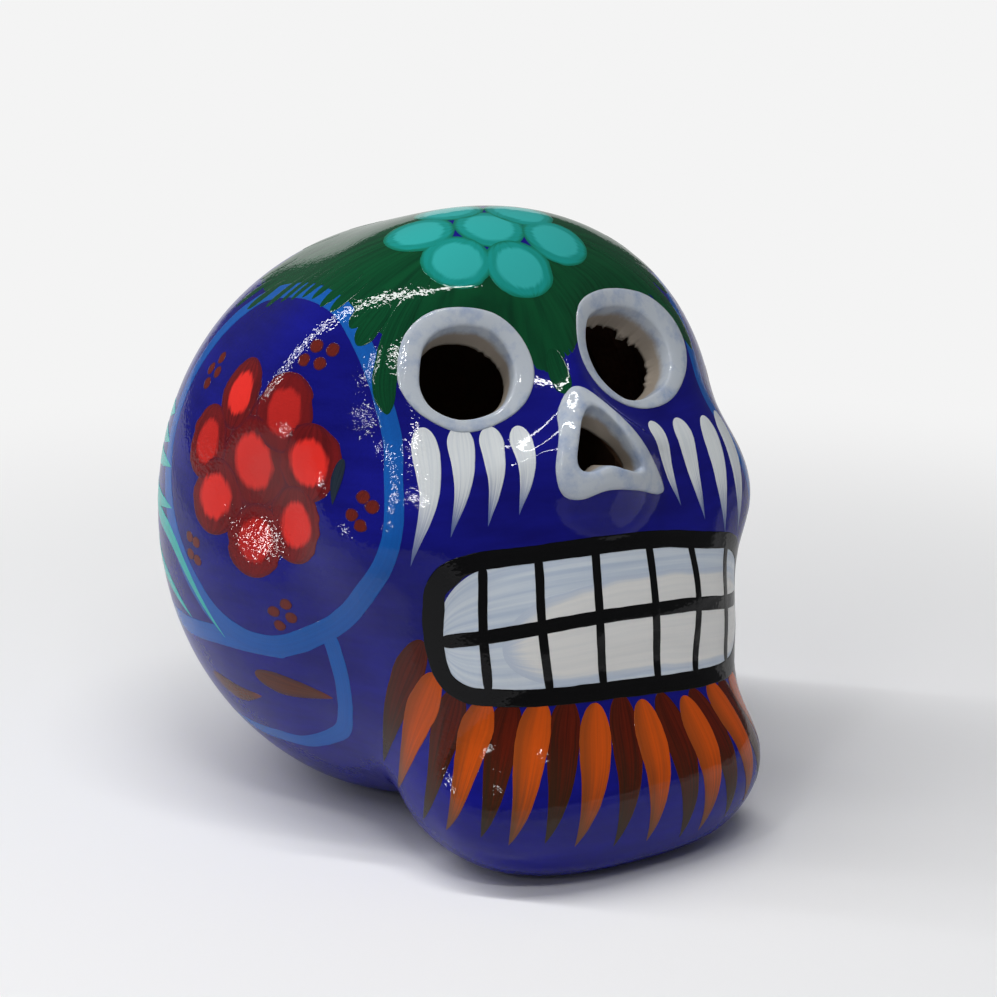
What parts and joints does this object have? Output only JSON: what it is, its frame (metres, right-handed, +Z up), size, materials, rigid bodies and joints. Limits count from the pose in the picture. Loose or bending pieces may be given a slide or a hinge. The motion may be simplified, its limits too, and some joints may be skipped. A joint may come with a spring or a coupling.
{
  "type": "painted clay skull",
  "caption": "Hollow press-moulded clay skull with open eye and nose holes, raised lips round them and a flat foot, painted with folk flowers and teeth, for the Day of the Dead.",
  "frame": {"origin": "on the surface that the skull stands on, under the middle of its bounding box", "axes": "+Z up, the face towards -Y, +X towards the right of someone who looks at the face"},
  "size_m": [0.094, 0.1134, 0.1002],
  "materials": {
    "painted_clay_blue": "cobalt blue acrylic paint under clear gloss varnish",
    "painted_clay_white": "white acrylic paint under clear gloss varnish",
    "bare_clay": "unglazed fired clay"
  },
  "bodies": {
    "root": {"face_half": "painted_clay_blue", "back_half": "painted_clay_blue", "seam_coil": "bare_clay", "right_eye_rim": "painted_clay_white", "left_eye_rim": "painted_clay_white", "nose_rim": "painted_clay_white"}
  },
  "joints": []
}
